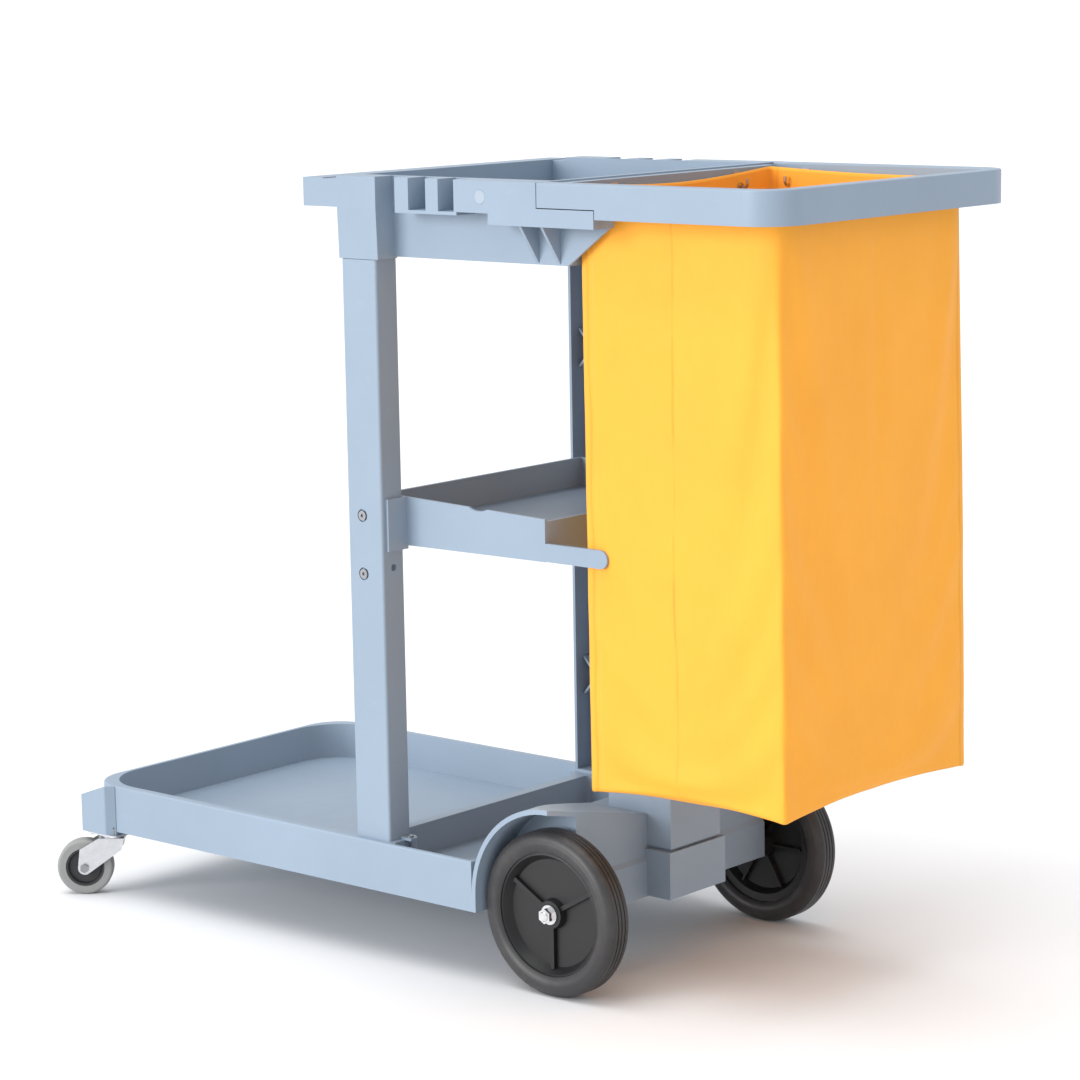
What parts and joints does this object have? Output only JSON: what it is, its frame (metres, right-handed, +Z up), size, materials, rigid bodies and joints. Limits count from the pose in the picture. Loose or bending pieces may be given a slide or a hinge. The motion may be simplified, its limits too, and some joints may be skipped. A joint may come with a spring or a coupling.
{
  "type": "housekeeping cart",
  "caption": "Moulded plastic housekeeping cart with a platform, mid shelf, top tray, hanging bag, large fixed rear wheels and swivel front casters.",
  "frame": {"origin": "on the floor, under the centre of the cart's overall box", "axes": "+X from the platform towards the bag, +Y to the far side, +Z up"},
  "size_m": [1.191, 0.56, 0.975],
  "materials": {
    "moulded_plastic": "fine satin grain",
    "bag_fabric": "coated woven cloth",
    "rear_tyre": "dull, moulded",
    "caster_tyre": "dull grey rubber",
    "hub_plastic": "satin black",
    "core_plastic": "satin black",
    "nylon": "natural nylon",
    "bright_nuts": "bright plated",
    "eyelet_metal": "nickel plated",
    "hook_wire": "zinc plated wire",
    "zinc_pressing": "zinc plated pressing",
    "fastener_steel": "zinc plated"
  },
  "bodies": {
    "chassis": {"arm_screws": "fastener_steel", "axle_nuts": "bright_nuts", "axle_washers": "fastener_steel", "bag": "bag_fabric", "bag_eyelets": "eyelet_metal", "bag_frame": "moulded_plastic", "bag_hooks": "hook_wire", "base_platform": "moulded_plastic", "cap_screws": "fastener_steel", "caster_screws": "fastener_steel", "far_caster_kingpin": "zinc_pressing", "far_caster_plate": "zinc_pressing", "far_caster_raceway": "zinc_pressing", "far_upright": "moulded_plastic", "foot_screws": "fastener_steel", "hook_screws": "fastener_steel", "mid_shelf": "moulded_plastic", "near_caster_kingpin": "zinc_pressing", "near_caster_plate": "zinc_pressing", "near_caster_raceway": "zinc_pressing", "near_upright": "moulded_plastic", "rear_axle": "fastener_steel", "shelf_bolts": "fastener_steel", "side_plugs": "moulded_plastic", "top_tray": "moulded_plastic"},
    "near_wheel": {"near_rear_tyre": "rear_tyre", "near_wheel_hub": "hub_plastic", "near_hub_bush": "nylon"},
    "near_caster": {"near_caster_fork": "zinc_pressing", "near_caster_sleeve": "fastener_steel", "near_caster_bolt": "fastener_steel", "near_caster_nut": "fastener_steel"},
    "near_caster_wheel": {"near_caster_tyre": "caster_tyre", "near_caster_core": "core_plastic"},
    "far_wheel": {"far_rear_tyre": "rear_tyre", "far_wheel_hub": "hub_plastic", "far_hub_bush": "nylon"},
    "far_caster": {"far_caster_fork": "zinc_pressing", "far_caster_sleeve": "fastener_steel", "far_caster_bolt": "fastener_steel", "far_caster_nut": "fastener_steel"},
    "far_caster_wheel": {"far_caster_tyre": "caster_tyre", "far_caster_core": "core_plastic"}
  },
  "joints": [
    {"name": "near_wheel_spin", "type": "hinge", "parent": "chassis", "child": "near_wheel", "pos_m": [0.241, -0.21, 0.1015], "axis": [0, 1, 0], "continuous": true},
    {"name": "far_wheel_spin", "type": "hinge", "parent": "chassis", "child": "far_wheel", "pos_m": [0.241, 0.21, 0.1015], "axis": [0, 1, 0], "continuous": true},
    {"name": "near_caster_swivel", "type": "hinge", "parent": "chassis", "child": "near_caster", "pos_m": [-0.5305, -0.223, 0.08], "axis": [0, 0, 1], "continuous": true},
    {"name": "near_caster_roll", "type": "hinge", "parent": "near_caster", "child": "near_caster_wheel", "pos_m": [-0.56016, -0.24878, 0.0375], "axis": [-0.6561, 0.7547, 0], "continuous": true},
    {"name": "far_caster_swivel", "type": "hinge", "parent": "chassis", "child": "far_caster", "pos_m": [-0.5305, 0.223, 0.08], "axis": [0, 0, 1], "continuous": true},
    {"name": "far_caster_roll", "type": "hinge", "parent": "far_caster", "child": "far_caster_wheel", "pos_m": [-0.56016, 0.24878, 0.0375], "axis": [0.6561, 0.7547, 0], "continuous": true}
  ]
}
